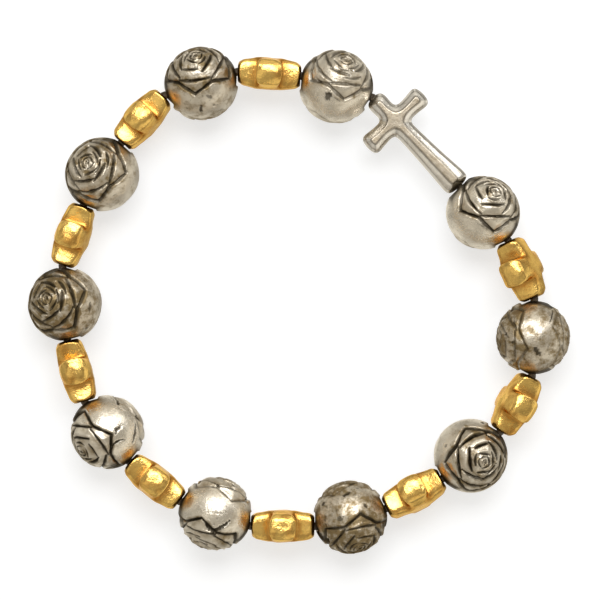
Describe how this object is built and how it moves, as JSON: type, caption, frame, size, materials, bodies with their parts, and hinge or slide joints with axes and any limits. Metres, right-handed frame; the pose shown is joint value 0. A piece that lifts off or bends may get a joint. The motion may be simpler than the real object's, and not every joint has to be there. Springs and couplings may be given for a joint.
{
  "type": "rosary bracelet",
  "caption": "Stretch rosary bracelet: round silver rose beads with small gold cross beads between them and one flat silver cross, strung on elastic thread.",
  "frame": {"origin": "on the surface that the bracelet lies on, under the middle of its outline", "axes": "+Z up out of the loop's plane, +X to the right and +Y up in the picture"},
  "size_m": [0.0583, 0.0546, 0.008],
  "materials": {
    "antique_silver": "polished silver plate with blackened grooves",
    "gold_plate": "polished gold plate, slightly uneven",
    "bright_silver": "polished silver plate",
    "clear_elastic": "clear elastic"
  },
  "bodies": {
    "root": {"rose_bead_1": "antique_silver", "rose_bead_2": "antique_silver", "rose_bead_3": "antique_silver", "rose_bead_4": "antique_silver", "rose_bead_5": "antique_silver", "rose_bead_6": "antique_silver", "rose_bead_7": "antique_silver", "rose_bead_8": "antique_silver", "rose_bead_9": "antique_silver", "rose_bead_10": "antique_silver", "gold_cross_1": "gold_plate", "gold_cross_2": "gold_plate", "gold_cross_3": "gold_plate", "gold_cross_4": "gold_plate", "gold_cross_5": "gold_plate", "gold_cross_6": "gold_plate", "gold_cross_7": "gold_plate", "gold_cross_8": "gold_plate", "gold_cross_9": "gold_plate", "silver_cross": "bright_silver", "elastic_thread": "clear_elastic"}
  },
  "joints": []
}
